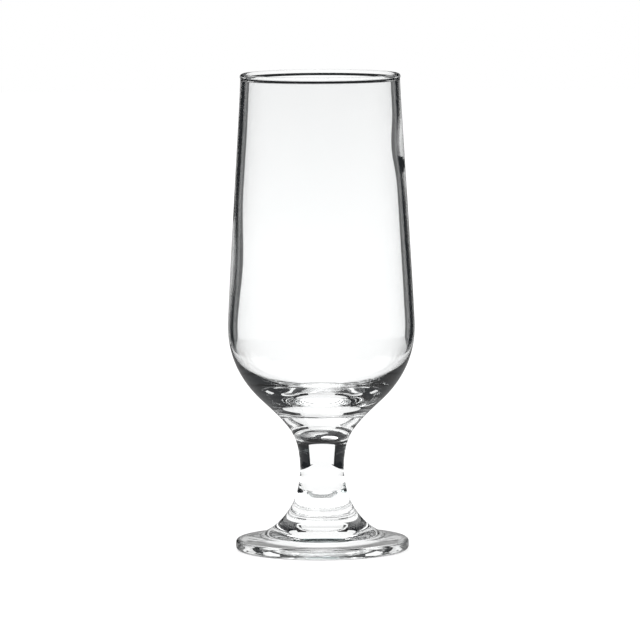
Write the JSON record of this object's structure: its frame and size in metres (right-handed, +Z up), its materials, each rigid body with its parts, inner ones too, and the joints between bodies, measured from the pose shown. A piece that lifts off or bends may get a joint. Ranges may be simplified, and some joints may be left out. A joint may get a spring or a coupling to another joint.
{
  "type": "stemmed pilsner glass",
  "caption": "Clear footed beer glass: tall barrel bowl with a beaded rim, short solid waisted stem, and a flared round foot hollowed underneath.",
  "frame": {"origin": "on the glass's axis, in the plane of the flat ring that the foot rests on", "axes": "+Z up along the axis, from the foot to the rim; X and Y level, and alike, because the glass is round"},
  "size_m": [0.0712, 0.0712, 0.182],
  "materials": {
    "clear_glass": "clear soda-lime glass, fire-polished and smooth, with slight ripples in the blown wall"
  },
  "bodies": {
    "root": {"bowl": "clear_glass", "stem": "clear_glass", "foot": "clear_glass"}
  },
  "joints": []
}
